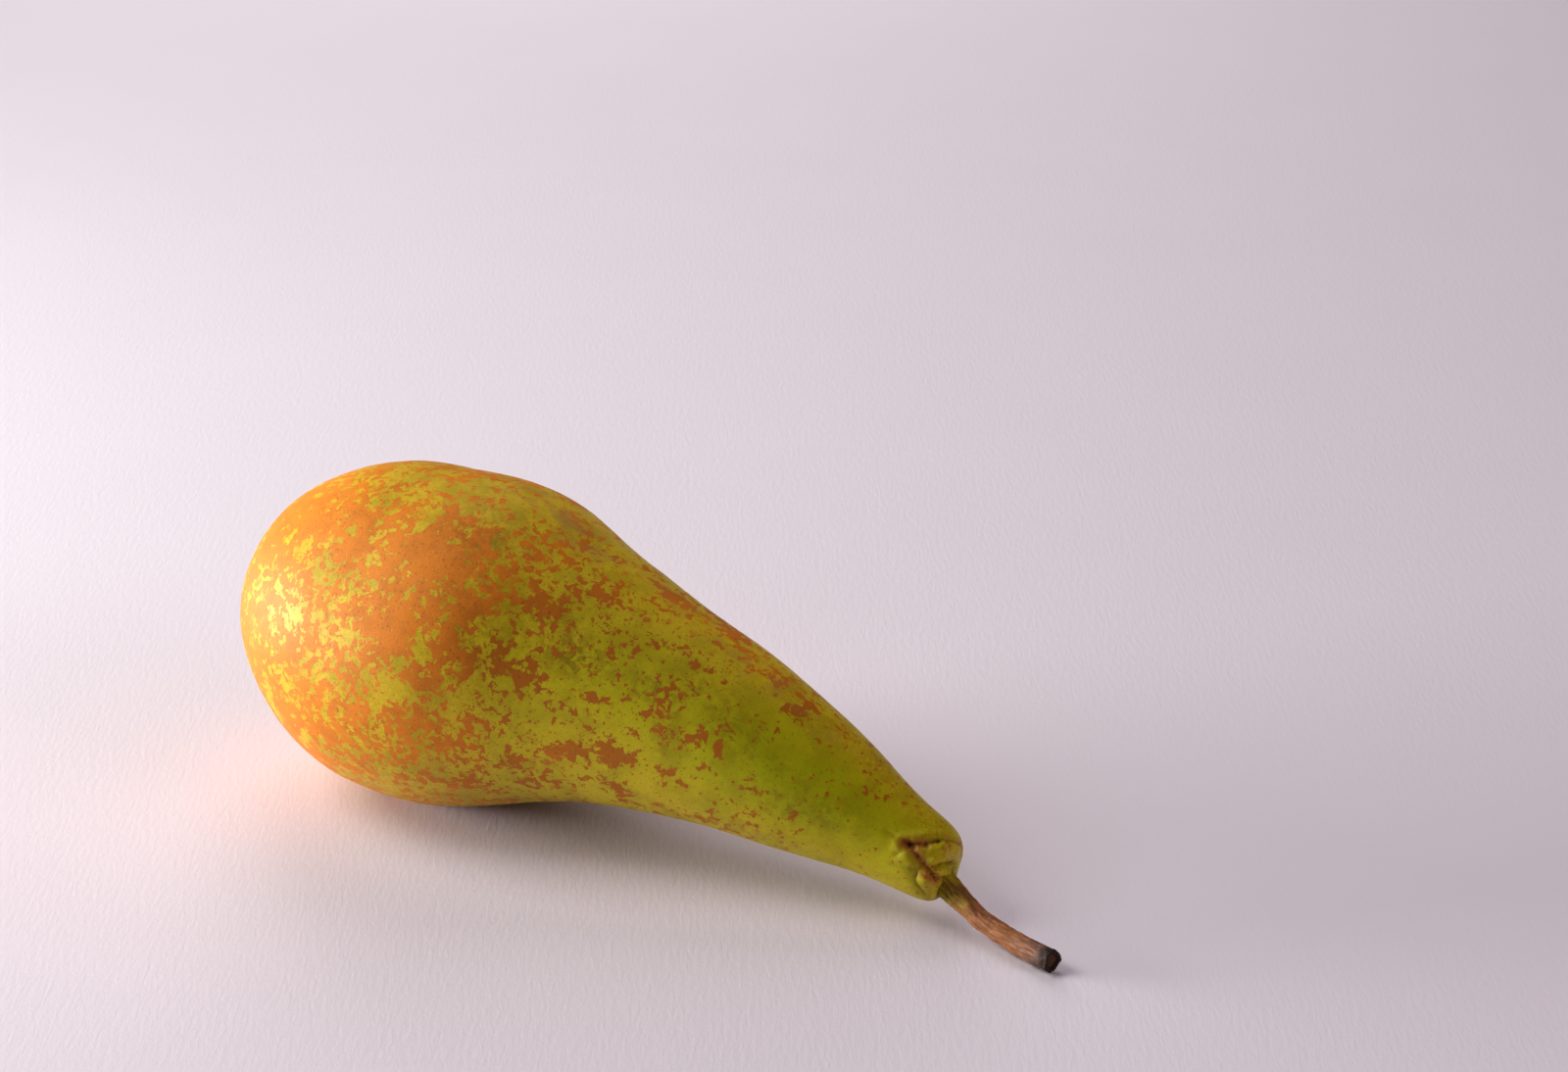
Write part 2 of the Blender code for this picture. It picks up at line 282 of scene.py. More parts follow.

# Other marks: scars of rusty cork (route and half width), how green the ground is, dark stains
# (partly real, partly painted shade on the dark band across the bulb), brown dust, patches along
# the upper side that are partly thin russet and partly a painted sheen of light, and the dark pit of the
# eye.
SCARS = [
    ([(100.2, -5.7, 15.1), (102.5, -5.9, 13.2), (104.1, -5.8, 11.6), (105.0, -5.3, 10.4)], 0.75),
    ([(100.0, -6.0, 15.1), (101.6, -5.2, 14.9), (103.0, -4.3, 14.9)], 0.95),
    ([(103.6, -6.2, 10.6), (104.6, -5.4, 10.6), (105.2, -4.6, 9.4)], 0.6),
    ([(105.6, 2.5, 12.6), (105.3, 3.8, 10.6), (104.9, 4.2, 8.8)], 0.7),
    ([(104.6, -1.0, 14.8), (105.6, 1.4, 13.2)], 0.5),
    ([(104.4, -5.2, 9.6), (105.0, -4.0, 8.7), (105.3, -2.0, 8.6)], 0.7),
]
smooth_places = places - skin_out * lift[:, None]
scar = sum(np.exp(-(near_line(smooth_places, route) / width) ** 2) for route, width in SCARS)
scar = np.clip(scar, 0, 1)
green = (np.interp(along, [0, 45, 60, 75, 100, 125, 137], [0.0, 0.12, 0.35, 0.45, 0.55, 0.70, 0.75])
         + 0.55 * dab(108, 58, 20, 36) + 0.25 * dab(72, 60, 14, 30)
         - 0.25 * dab(100, -5, 30, 24) - 0.02 * dab(92, 122, 16, 22))
# dark stains; the one at 46 mm and 24 degrees is painted shade on the dark band of the bulb
STAINS_AND_SHADE = [
    (46, 24, 6, 12, 0.8), (51, 46, 5, 10, 0.5), (57, 60, 6, 18, 0.45), (71, 52, 6, 9, 0.9),
    (84, 51, 4, 8, 0.7), (89, 70, 1.6, 14, 0.7), (66, 40, 6, 8, 0.4), (92, 38, 8, 10, 0.5),
    (100, 55, 8, 12, 0.5), (110, 84, 6, 12, 0.6), (118, 66, 8, 16, 0.4), (106, 122, 7, 10, 0.5),
]
stain_and_shade = sum(strength * dab(*where) for *where, strength in STAINS_AND_SHADE)
dust = np.clip(0.9 * dab(122, -6, 22, 26) + 0.30 * dab(90, 5, 24, 24) + 0.75 * dab(136, 60, 8, 90)
               + 0.5 * dab(118, 118, 18, 18), 0, 1)
# patches along the upper side: partly thin russet, partly a painted sheen of light
SHEEN_AND_THIN_RUSSET_DABS = [
    (48, -8, 10, 12, 0.7), (60, -6, 9, 12, 0.6), (97, 4, 9, 10, 0.7), (108, 10, 5, 8, 0.6),
    (78, -10, 10, 10, 0.5),
]
sheen_and_thin_russet = sum(strength * dab(*where) for *where, strength in SHEEN_AND_THIN_RUSSET_DABS)
PIT_RADIUS = 3.0
PIT_EDGE = 0.35
pit = 1 / (1 + np.exp((from_eye - PIT_RADIUS) / PIT_EDGE))
for name, values in [("russet", russet), ("scar", scar), ("fold_shade", crease_shade), ("green", green),
                     ("stain_and_shade", stain_and_shade), ("dust", dust), ("sheen_and_thin_russet", sheen_and_thin_russet), ("pit", pit)]:
    shares = skin_mesh.attributes.new(name, 'FLOAT', 'POINT')
    shares.data.foreach_set("value", values.astype(np.float32))


def node(tree, kind, inputs, **settings):
    """Adds a node with its settings; each input is a value or the socket that it is joined to."""
    made = tree.nodes.new(kind)
    for name, value in settings.items():
        setattr(made, name, value)
    for socket, value in inputs.items():
        if isinstance(value, bpy.types.NodeSocket):
            tree.links.new(value, made.inputs[socket])
        else:
            made.inputs[socket].default_value = value
    return made


def reckon(tree, operation, *values, clamp=False):
    made = node(tree, 'ShaderNodeMath', dict(enumerate(values)), operation=operation, use_clamp=clamp)
    return made.outputs[0]


def times(tree, one, other):
    return reckon(tree, 'MULTIPLY', one, other)


def step_between(tree, value, low, high, to_low=0.0, to_high=1.0):
    return node(tree, 'ShaderNodeMapRange', {"Value": value, "From Min": low, "From Max": high,
                "To Min": to_low, "To Max": to_high}, interpolation_type='SMOOTHSTEP').outputs["Result"]


def cloud(tree, place, scale, detail=2.0, roughness=0.5, distortion=0.0, output="Fac"):
    made = node(tree, 'ShaderNodeTexNoise', {"Vector": place, "Scale": scale, "Detail": detail,
                "Roughness": roughness, "Distortion": distortion})
    return made.outputs[output]


def blend(tree, share, below, above):
    made = tree.nodes.new('ShaderNodeMix')
    made.data_type = 'RGBA'
    for socket, value in zip((0, 6, 7), (share, below, above)):
        if isinstance(value, bpy.types.NodeSocket):
            tree.links.new(value, made.inputs[socket])
        else:
            made.inputs[socket].default_value = (*value, 1.0) if isinstance(value, tuple) else value
    return made.outputs[2]


def attribute(tree, name):
    return node(tree, 'ShaderNodeAttribute', {}, attribute_name=name).outputs["Fac"]


def new_material(name, **constants):
    """A material with one Principled shader; returns it, its tree and the shader."""
    made = bpy.data.materials.new(name)
    made.use_nodes = True
    shader = made.node_tree.nodes["Principled BSDF"]
    for socket, value in constants.items():
        shader.inputs[socket.replace("_", " ")].default_value = value
    return made, made.node_tree, shader


def vector_reckon(tree, operation, inputs):
    return node(tree, 'ShaderNodeVectorMath', inputs, operation=operation).outputs[0]


def in_millimetres(tree):
    place = tree.nodes.new('ShaderNodeTexCoord').outputs["Object"]
    return vector_reckon(tree, 'SCALE', {0: place, "Scale": 1 / MM})


def finish_surface(tree, shader, colour, roughness, height, depth, strength=1.0):
    bump = node(tree, 'ShaderNodeBump', {"Height": height, "Distance": depth, "Strength": strength})
    tree.links.new(colour, shader.inputs["Base Color"])
    tree.links.new(roughness, shader.inputs["Roughness"])
    tree.links.new(bump.outputs["Normal"], shader.inputs["Normal"])


skin, tree, shader = new_material("pear_skin", IOR=1.38, Specular_Tint=(1.0, 0.87, 0.42, 1.0),
                                  Subsurface_Weight=0.08, Subsurface_Scale=0.003,
                                  Subsurface_Radius=(1.0, 0.45, 0.08))
place = in_millimetres(tree)


def shifted(tree, place, scale, reach):
    """The place, moved about by a cloud, so that what is drawn there gets ragged edges."""
    push = cloud(tree, place, scale, 2.0, output="Color")
    push = vector_reckon(tree, 'SUBTRACT', {0: push, 1: (0.5, 0.5, 0.5)})
    return vector_reckon(tree, 'MULTIPLY_ADD', {0: push, 1: (reach,) * 3, 2: place})


warped = shifted(tree, shifted(tree, place, 0.30, 2.4), 1.5, 0.55)
islands = cloud(tree, warped, 0.66, 3.2, 0.58)
patches = cloud(tree, warped, 0.20, 3.0, 0.55)
regions = cloud(tree, place, 0.08, 2.0)
grain = cloud(tree, place, 5.0, 3.0, 0.6)
cover = attribute(tree, "russet")
weighed = reckon(tree, 'MULTIPLY_ADD', patches, 0.37, times(tree, regions, 0.13))
weighed = reckon(tree, 'MULTIPLY_ADD', islands, 0.65, weighed)
weighed = reckon(tree, 'ADD', weighed, reckon(tree, 'MULTIPLY_ADD', cover, 0.26, -0.178))
is_russet = step_between(tree, weighed, 0.512, 0.536)

# freckles of russet outside the closed patches, and small breathing pores everywhere
freckles = node(tree, 'ShaderNodeTexVoronoi', {"Vector": warped, "Scale": 0.70, "Randomness": 1.0})
ragged = reckon(tree, 'MULTIPLY_ADD', grain, 0.20, -0.10)
freckle_size = reckon(tree, 'MULTIPLY_ADD', cover, 0.45, -0.19)
freckle_size = reckon(tree, 'MULTIPLY_ADD', freckles.outputs["Color"], 0.42, freckle_size)
dusting = reckon(tree, 'MULTIPLY_ADD', attribute(tree, "dust"), 0.16, ragged)
freckle_size = reckon(tree, 'ADD', freckle_size, dusting)
freckle = reckon(tree, 'SUBTRACT', freckle_size, freckles.outputs["Distance"])
freckle = step_between(tree, freckle, -0.03, 0.05)
pore_places = shifted(tree, place, 2.4, 0.5)
pores = node(tree, 'ShaderNodeTexVoronoi', {"Vector": pore_places, "Scale": 1.6, "Randomness": 1.0})
pore_size = reckon(tree, 'MULTIPLY_ADD', cover, 0.22, -0.14)
pore_size = reckon(tree, 'MULTIPLY_ADD', pores.outputs["Color"], 0.44, pore_size)
pore = reckon(tree, 'SUBTRACT', pore_size, pores.outputs["Distance"])
pore = step_between(tree, reckon(tree, 'ADD', pore, ragged), -0.03, 0.05)

# the ground colour turns from warm yellow at the flower end to leaf green along the neck
hue = cloud(tree, place, 0.09, 3.0)
hue = reckon(tree, 'MULTIPLY_ADD', hue, 0.6, -0.3)
greenness = reckon(tree, 'ADD', attribute(tree, "green"), hue, clamp=True)
ground = blend(tree, greenness, (0.66, 0.405, 0.018), (0.31, 0.345, 0.001))
mottle = step_between(tree, cloud(tree, warped, 0.9, 4.0, 0.6), 0.40, 0.62)
ground = blend(tree, times(tree, mottle, 0.35), ground, (0.46, 0.34, 0.006))
fine = step_between(tree, cloud(tree, warped, 2.6, 4.0, 0.65), 0.44, 0.60, 0.0, 0.40)
ground = blend(tree, fine, ground, (0.31, 0.255, 0.003))
clouding = step_between(tree, cloud(tree, place, 0.16, 4.0, 0.6), 0.42, 0.64, 0.0, 0.35)
ground = blend(tree, clouding, ground, (0.20, 0.165, 0.002))
# dark stains, and painted shade on the dark band of the bulb
stain_and_shade_mask = step_between(tree, cloud(tree, warped, 0.62, 5.0, 0.7), 0.42, 0.60)
stain_and_shade_mask = times(tree, attribute(tree, "stain_and_shade"), stain_and_shade_mask)
ground = blend(tree, times(tree, stain_and_shade_mask, 0.9), ground, (0.15, 0.082, 0.002))

# russet: cork that has grown over the skin, orange on the bulb and browner along the neck
corky = blend(tree, step_between(tree, greenness, 0.05, 0.60), (0.67, 0.190, 0.010), (0.33, 0.094, 0.004))
browner = step_between(tree, cloud(tree, warped, 0.35, 4.0, 0.6), 0.40, 0.66, 0.0, 0.35)
corky = blend(tree, browner, corky, (0.38, 0.105, 0.010))
# the stains and the painted shade darken the russet too
corky = blend(tree, times(tree, stain_and_shade_mask, 0.5), corky, (0.25, 0.070, 0.004))
corky = blend(tree, step_between(tree, grain, 0.45, 0.68, 0.0, 0.35), corky, (0.26, 0.075, 0.008))
all_russet = reckon(tree, 'MAXIMUM', is_russet, times(tree, freckle, 0.85))
colour = blend(tree, all_russet, ground, corky)
dark_pores = step_between(tree, attribute(tree, "green"), 0.1, 0.6, 0.34, 0.72)
colour = blend(tree, times(tree, pore, dark_pores), colour, (0.17, 0.060, 0.004))

# painted sheen of light on the upper side mixed with thin russet, scars of rusty cork, painted shade in
# the creases and round the stalk, and a dark eye
sheen_and_russet_mask = step_between(tree, cloud(tree, warped, 0.34, 5.0, 0.6), 0.42, 0.60)
sheen_and_russet_mask = times(tree, attribute(tree, "sheen_and_thin_russet"), sheen_and_russet_mask)
colour = blend(tree, times(tree, sheen_and_russet_mask, 0.60), colour, (0.33, 0.15, 0.05))
dusty = step_between(tree, cloud(tree, warped, 1.5, 5.0, 0.7), 0.40, 0.62)
dusty = times(tree, times(tree, attribute(tree, "dust"), dusty), 0.52)
colour = blend(tree, dusty, colour, (0.30, 0.115, 0.006))
rusty = step_between(tree, cloud(tree, place, 1.6, 4.0, 0.65), 0.32, 0.54)
rusty = times(tree, attribute(tree, "scar"), rusty)
colour = blend(tree, rusty, colour, (0.33, 0.105, 0.018))
# painted shade in the creases of the lip and in the crevice round the stalk
colour = blend(tree, times(tree, attribute(tree, "fold_shade"), 0.60), colour, (0.06, 0.028, 0.006))
colour = blend(tree, times(tree, attribute(tree, "pit"), 0.85), colour, (0.045, 0.022, 0.006))

dullness = reckon(tree, 'ADD', is_russet, times(tree, grain, 0.3))
roughness = step_between(tree, dullness, 0.0, 1.3, 0.48, 0.58)
height = reckon(tree, 'ADD', times(tree, is_russet, 0.22), times(tree, grain, 0.30))
height = reckon(tree, 'SUBTRACT', height, times(tree, pore, 0.25))
finish_surface(tree, shader, colour, roughness, height, 0.00012, 0.6)

fruit = bpy.data.objects.new("pear_fruit", skin_mesh)
bpy.context.scene.collection.objects.link(fruit)
skin_mesh.materials.append(skin)
skin_mesh.shade_smooth()
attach(fruit, "root")
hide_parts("fruit")


# ---------------------------------------------------------------------------------- the stem
# A thin woody stalk that grows out of the folded lip in a gentle bend; its broken end rests on
# the table. The bark is ridged lengthways, green near the fruit and dark where it broke off.

STALK_CAGE = [  # middle and radius
    (103.0, 0.3, 7.3, 2.0), (104.9, -0.2, 6.2, 2.3), (108.4, -1.3, 4.5, 1.8), (111.4, -2.2, 3.1, 1.65),
    (115.0, -3.4, 2.3, 1.7), (119.0, -4.9, 2.05, 1.75), (123.2, -6.4, 2.0, 1.75), (127.6, -8.0, 2.0, 1.9),
]


def lines_mesh(name, lines):
    """A mesh of open lines, each an array of (x, y, z, half thickness) in millimetres."""
    made = bpy.data.meshes.new(name)
    starts = np.cumsum([0] + [len(line) for line in lines])
    edges = [(k, k + 1) for a, b in zip(starts, starts[1:]) for k in range(a, b - 1)]
    rows = np.concatenate(lines)
    made.from_pydata((rows[:, :3] * MM).tolist(), edges, [])
    thickness = made.attributes.new("thickness", 'FLOAT', 'POINT')
    thickness.data.foreach_set("value", (rows[:, 3] * MM).astype(np.float32))
    return made


RECIPE_INPUTS = {
    "Sides": 48, "Flatness": 1.0, "Cupping": 0.0, "Ridge Depth": 0.10, "Ridge Scale": 1.2,
    "Wrinkle Depth": 0.05, "Wrinkle Scale": 0.6, "End Depth": 0.5, "End Fraying": 0.3, "Seed": 0.0,
}
BARK_LENGTH_SCALE = 250.0     # low, so that the ridges run lengthways
MOST_SIDE_CORNERS = 6.0       # a face with more corners than this is an end
# how much narrower each step of an end is, and how deep it goes
END_STEPS = [(0.93, 0.12), (0.88, 0.05), (0.86, -0.15), (0.78, -0.45), (0.70, -0.10), (0.55, 0.10)]
FIRST_CORE_STEP = 3


def withered_recipe(name, finish):
    """Geometry Nodes that turn lines into ridged, wrinkled woody shoots with hollowed ends."""
    tree = bpy.data.node_groups.new(name, 'GeometryNodeTree')
    tree.interface.new_socket("Geometry", in_out='INPUT', socket_type='NodeSocketGeometry')
    for title, value in RECIPE_INPUTS.items():
        kind = 'NodeSocketInt' if isinstance(value, int) else 'NodeSocketFloat'
        tree.interface.new_socket(title, in_out='INPUT', socket_type=kind).default_value = value
    tree.interface.new_socket("Geometry", in_out='OUTPUT', socket_type='NodeSocketGeometry')
    given = tree.nodes.new('NodeGroupInput').outputs

    def caught(geometry, **values):
        capture = tree.nodes.new('GeometryNodeCaptureAttribute')
        tree.links.new(geometry, capture.inputs["Geometry"])
        for title, value in values.items():
            capture.capture_items.new('FLOAT', title)
            tree.links.new(value, capture.inputs[title])
        return capture.outputs

    spot = tree.nodes.new('GeometryNodeSplineParameter').outputs
    lines = node(tree, 'GeometryNodeMeshToCurve', {"Mesh": given["Geometry"]}).outputs["Curve"]
    lines = caught(lines, Along=spot["Factor"], Distance=spot["Length"])
    hoop = node(tree, 'GeometryNodeCurvePrimitiveCircle', {"Resolution": given["Sides"], "Radius": 1.0})
    hoop = caught(hoop.outputs["Curve"], Round=spot["Factor"])
    where = tree.nodes.new('GeometryNodeInputPosition').outputs["Position"]
    part = node(tree, 'ShaderNodeSeparateXYZ', {0: where}).outputs
    cupped = times(tree, times(tree, part["X"], part["X"]), given["Cupping"])
    flat = reckon(tree, 'ADD', times(tree, part["Y"], given["Flatness"]), cupped)
    flat = node(tree, 'ShaderNodeCombineXYZ', {"X": part["X"], "Y": flat, "Z": 0.0}).outputs[0]
    profile = node(tree, 'GeometryNodeSetPosition', {"Geometry": hoop["Geometry"], "Position": flat})
    thickness = node(tree, 'GeometryNodeInputNamedAttribute', {"Name": "thickness"}, data_type='FLOAT')
    body = node(tree, 'GeometryNodeCurveToMesh', {
        "Curve": lines["Geometry"], "Profile Curve": profile.outputs[0],
        "Scale": thickness.outputs[0], "Fill Caps": True}).outputs["Mesh"]
    for title, value in (("along", lines["Along"]), ("round", hoop["Round"])):
        body = node(tree, 'GeometryNodeStoreNamedAttribute', {
            "Geometry": body, "Name": title, "Value": value},
            data_type='FLOAT', domain='POINT').outputs[0]

    angle = times(tree, hoop["Round"], 2 * math.pi)
    length = times(tree, lines["Distance"], BARK_LENGTH_SCALE)
    on_bark = node(tree, 'ShaderNodeCombineXYZ', {
        "X": reckon(tree, 'COSINE', angle), "Y": reckon(tree, 'SINE', angle), "Z": length}).outputs[0]
    in_mm = vector_reckon(tree, 'SCALE', {0: where, "Scale": 1 / MM})
    ridges = node(tree, 'ShaderNodeTexNoise', {
        "Vector": on_bark, "W": given["Seed"], "Scale": given["Ridge Scale"],
        "Detail": 3.0, "Roughness": 0.6}, noise_dimensions='4D').outputs[0]
    wrinkles = node(tree, 'ShaderNodeTexNoise', {
        "Vector": in_mm, "W": given["Seed"], "Scale": given["Wrinkle Scale"],
        "Detail": 3.0, "Roughness": 0.55}, noise_dimensions='4D').outputs[0]
    push = times(tree, reckon(tree, 'SUBTRACT', ridges, 0.5), given["Ridge Depth"])
    wrinkling = times(tree, reckon(tree, 'SUBTRACT', wrinkles, 0.5), given["Wrinkle Depth"])
    push = reckon(tree, 'ADD', push, wrinkling)
    out = tree.nodes.new('GeometryNodeInputNormal').outputs[0]
    offset = vector_reckon(tree, 'SCALE', {0: out, "Scale": times(tree, push, 2 * MM)})
    body = node(tree, 'GeometryNodeSetPosition', {"Geometry": body, "Offset": offset}).outputs[0]

    frayed = cloud(tree, in_mm, 0.8, 2.0, output="Color")
    frayed = vector_reckon(tree, 'SUBTRACT', {0: frayed, 1: (0.5, 0.5, 0.5)})
    near_end = step_between(tree, lines["Along"], 0.93, 1.0)
    fraying = times(tree, times(tree, near_end, given["End Fraying"]), MM)
    offset = vector_reckon(tree, 'SCALE', {0: frayed, "Scale": fraying})
    body = node(tree, 'GeometryNodeSetPosition', {"Geometry": body, "Offset": offset}).outputs[0]

    # the two ends are drawn in and hollowed, one step after the other
    corners = tree.nodes.new('GeometryNodeInputMeshFaceNeighbors').outputs["Vertex Count"]
    corners = reckon(tree, 'ADD', corners, 0.0)
    end = node(tree, 'FunctionNodeCompare', {"A": corners, "B": MOST_SIDE_CORNERS},
               operation='GREATER_THAN').outputs[0]
    for step, (narrowing, depth) in enumerate(END_STEPS):
        sunk = times(tree, given["End Depth"], depth * MM)
        cap = node(tree, 'GeometryNodeExtrudeMesh', {
            "Mesh": body, "Selection": end, "Offset Scale": sunk, "Individual": True},
            mode='FACES').outputs
        body = node(tree, 'GeometryNodeScaleElements', {
            "Geometry": cap["Mesh"], "Selection": cap["Top"], "Scale": narrowing},
            domain='FACE').outputs[0]
        body = node(tree, 'GeometryNodeStoreNamedAttribute', {
            "Geometry": body, "Selection": cap["Top"], "Name": "core",
            "Value": float(step >= FIRST_CORE_STEP)}, data_type='FLOAT', domain='FACE').outputs[0]
        end = cap["Top"]
    body = node(tree, 'GeometryNodeRealizeInstances', {"Geometry": body}).outputs[0]
    body = node(tree, 'GeometryNodeSetMaterial', {"Geometry": body, "Material": finish}).outputs[0]
    tree.links.new(body, tree.nodes.new('NodeGroupOutput').inputs["Geometry"])
    return tree


def grow(name, lines, recipe, values):
    """Runs a recipe on lines and returns the finished mesh."""
    host = bpy.data.objects.new(name, lines)
    bpy.context.scene.collection.objects.link(host)
    modifier = host.modifiers.new("recipe", 'NODES')
    modifier.node_group = recipe
    for item in recipe.interface.items_tree:
        if item.name in values and item.in_out == 'INPUT':
            modifier[item.identifier] = values[item.name]
    finished = host.evaluated_get(bpy.context.evaluated_depsgraph_get())
    grown = bpy.data.meshes.new_from_object(finished)
    bpy.data.objects.remove(host)
    grown.name = name
    return grown


def add_piece(name, mesh):
    point_faces_out(mesh)
    mesh.shade_smooth()
    made = bpy.data.objects.new(name, mesh)
    bpy.context.scene.collection.objects.link(made)
    return made


bark, tree, shader = new_material("stalk_bark", IOR=1.40, Specular_IOR_Level=0.3,
                                  Specular_Tint=(1.0, 0.88, 0.75, 1.0))
place = in_millimetres(tree)
along_stem = attribute(tree, "along")
turned = times(tree, attribute(tree, "round"), 2 * math.pi)
lengthways = node(tree, 'ShaderNodeCombineXYZ', {
    "X": times(tree, reckon(tree, 'COSINE', turned), 3.0),
    "Y": times(tree, reckon(tree, 'SINE', turned), 3.0),
    "Z": times(tree, along_stem, 7.0)}).outputs[0]
streaks = cloud(tree, lengthways, 1.3, 5.0, 0.65, 0.4)
stains = cloud(tree, place, 0.45, 4.0, 0.6)
wandering = reckon(tree, 'ADD', along_stem, reckon(tree, 'MULTIPLY_ADD', stains, 0.5, -0.25))
copper = blend(tree, step_between(tree, streaks, 0.34, 0.68), (0.17, 0.062, 0.022), (0.36, 0.135, 0.050))
copper = blend(tree, step_between(tree, stains, 0.52, 0.66, 0.0, 0.6), copper, (0.16, 0.062, 0.030))
sprout = blend(tree, step_between(tree, streaks, 0.40, 0.60), (0.19, 0.115, 0.012), (0.38, 0.30, 0.013))
colour = blend(tree, step_between(tree, wandering, 0.08, 0.34), sprout, copper)
greyed = blend(tree, step_between(tree, streaks, 0.38, 0.62), (0.10, 0.050, 0.036), (0.23, 0.115, 0.08))
colour = blend(tree, step_between(tree, wandering, 0.66, 0.94), colour, greyed)
broken = reckon(tree, 'MULTIPLY_ADD', stains, 0.24, along_stem)
broken = reckon(tree, 'MULTIPLY_ADD', streaks, 0.14, broken)
colour = blend(tree, step_between(tree, broken, 1.07, 1.20), colour, (0.026, 0.013, 0.010))
core = times(tree, attribute(tree, "core"), step_between(tree, stains, 0.35, 0.65))
colour = blend(tree, core, colour, (0.075, 0.036, 0.014))
roughness = step_between(tree, streaks, 0.3, 0.7, 0.72, 0.55)
bark_height = reckon(tree, 'ADD', streaks, times(tree, cloud(tree, place, 6.0, 3.0), 0.3))
finish_surface(tree, shader, colour, roughness, bark_height, 0.00016, 0.8)

STALK_STEPS = 150
stalk_cage = np.array(STALK_CAGE)
before = 2 * stalk_cage[0] - stalk_cage[1]
after = 2 * stalk_cage[-1] - stalk_cage[-2]
stalk_line = spline([before, *stalk_cage, after], np.linspace(0, 1, STALK_STEPS))
stalk_line[:, :3] += STEP
stalk_recipe = withered_recipe("stalk_recipe", bark)
stem_mesh = grow("pear_stem", lines_mesh("stalk_line", [stalk_line]), stalk_recipe, {
    "Sides": 56, "Ridge Depth": 0.26, "Ridge Scale": 1.4, "Wrinkle Depth": 0.35,
    "Wrinkle Scale": 0.35, "End Depth": 0.8, "End Fraying": 0.9, "Seed": 2.0})
stem = add_piece("pear_stem", stem_mesh)
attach(stem, "root")
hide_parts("stem")


# --------------------------------------------------------------------------------- the sepals
# Five dried leaves of the old flower stand round the pit and bend outwards over its edge. They
# are dark, brittle and wrinkled, with greyer tips, and grow out of the flesh inside the pit.

SEPAL_LENGTH = 4.4
SEPAL_WIDTH = 2.1
SEPAL_TAPER = 0.72            # how much of the width is lost from root to tip
SEPAL_ROOT_RADIUS = 2.0
SEPAL_ROOT_DEPTH = 2.5
SEPAL_STEPS = 40
SEPAL_CURLS = [95, 118, 78, 128, 104]  # degrees
SEPAL_TURNS = [4, -5, 3, -3, 6]  # degrees away from an even fifth of a turn
SEPAL_COUNT = len(SEPAL_CURLS)


def by_the_eye(mesh, turn):
    """Moves a mesh made at the origin (sideways, outwards from the axis, away) to the eye."""
    local = np.zeros(len(mesh.vertices) * 3, np.float32)
    mesh.vertices.foreach_get("co", local)
    x, y, z = local.reshape(-1, 3).astype(float).T / MM
    across = -y * math.sin(turn) - x * math.cos(turn)
    set_places(mesh, lay_down(-z, across, y * math.cos(turn) - x * math.sin(turn)) + STEP)


dried, tree, shader = new_material("dried_sepals", IOR=1.42)
place = in_millimetres(tree)
blotch = cloud(tree, place, 1.4, 4.0, 0.6)
fibre = cloud(tree, place, 5.0, 4.0, 0.7)
leaf = blend(tree, step_between(tree, blotch, 0.38, 0.62), (0.050, 0.022, 0.012), (0.16, 0.075, 0.035))
tip = reckon(tree, 'MULTIPLY_ADD', blotch, 0.5, attribute(tree, "along"))
leaf = blend(tree, step_between(tree, tip, 0.85, 1.15, 0.0, 0.85), leaf, (0.26, 0.19, 0.17))
leaf = blend(tree, step_between(tree, fibre, 0.52, 0.66, 0.0, 0.5), leaf, (0.03, 0.015, 0.01))
roughness = step_between(tree, fibre, 0.3, 0.7, 0.62, 0.85)
finish_surface(tree, shader, leaf, roughness, fibre, 0.00012, 0.8)

leaf_recipe = withered_recipe("dried_leaf_recipe", dried)
for number, (curl, off) in enumerate(zip(SEPAL_CURLS, SEPAL_TURNS)):
    share = np.linspace(0, 1, SEPAL_STEPS + 1)
    bend = math.radians(curl) * ((share[:-1] + share[1:]) / 2) ** 1.5
    step = SEPAL_LENGTH / SEPAL_STEPS
    radial = SEPAL_ROOT_RADIUS + np.concatenate([[0], np.cumsum(step * np.sin(bend))])
    outward = -SEPAL_ROOT_DEPTH + np.concatenate([[0], np.cumsum(step * np.cos(bend))])
    half_width = SEPAL_WIDTH / 2 * (1 - SEPAL_TAPER * share ** 1.6)
    spine = np.stack([0.12 * np.sin(5 * share + number), radial, outward, half_width], axis=1)
    leaf_mesh = grow("pear_sepal", lines_mesh("sepal_line", [spine]), leaf_recipe, {
        "Sides": 40, "Flatness": 0.20, "Cupping": 0.30, "Ridge Depth": 0.16, "Ridge Scale": 1.8,
        "Wrinkle Depth": 0.30, "Wrinkle Scale": 0.9, "End Depth": 0.1, "Seed": float(number)})
    by_the_eye(leaf_mesh, math.radians(360 / SEPAL_COUNT * number + off))
    sepal = add_piece(f"pear_sepal_{number + 1}", leaf_mesh)
    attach(sepal, "root")
    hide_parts(f"sepal_{number + 1}")


# -------------------------------------------------------------------------- the dried stamens
# What is left of the flower's stamens: a tuft of thin, curled threads with small dark heads,
# withered together on the floor of the pit, pale brown and papery.

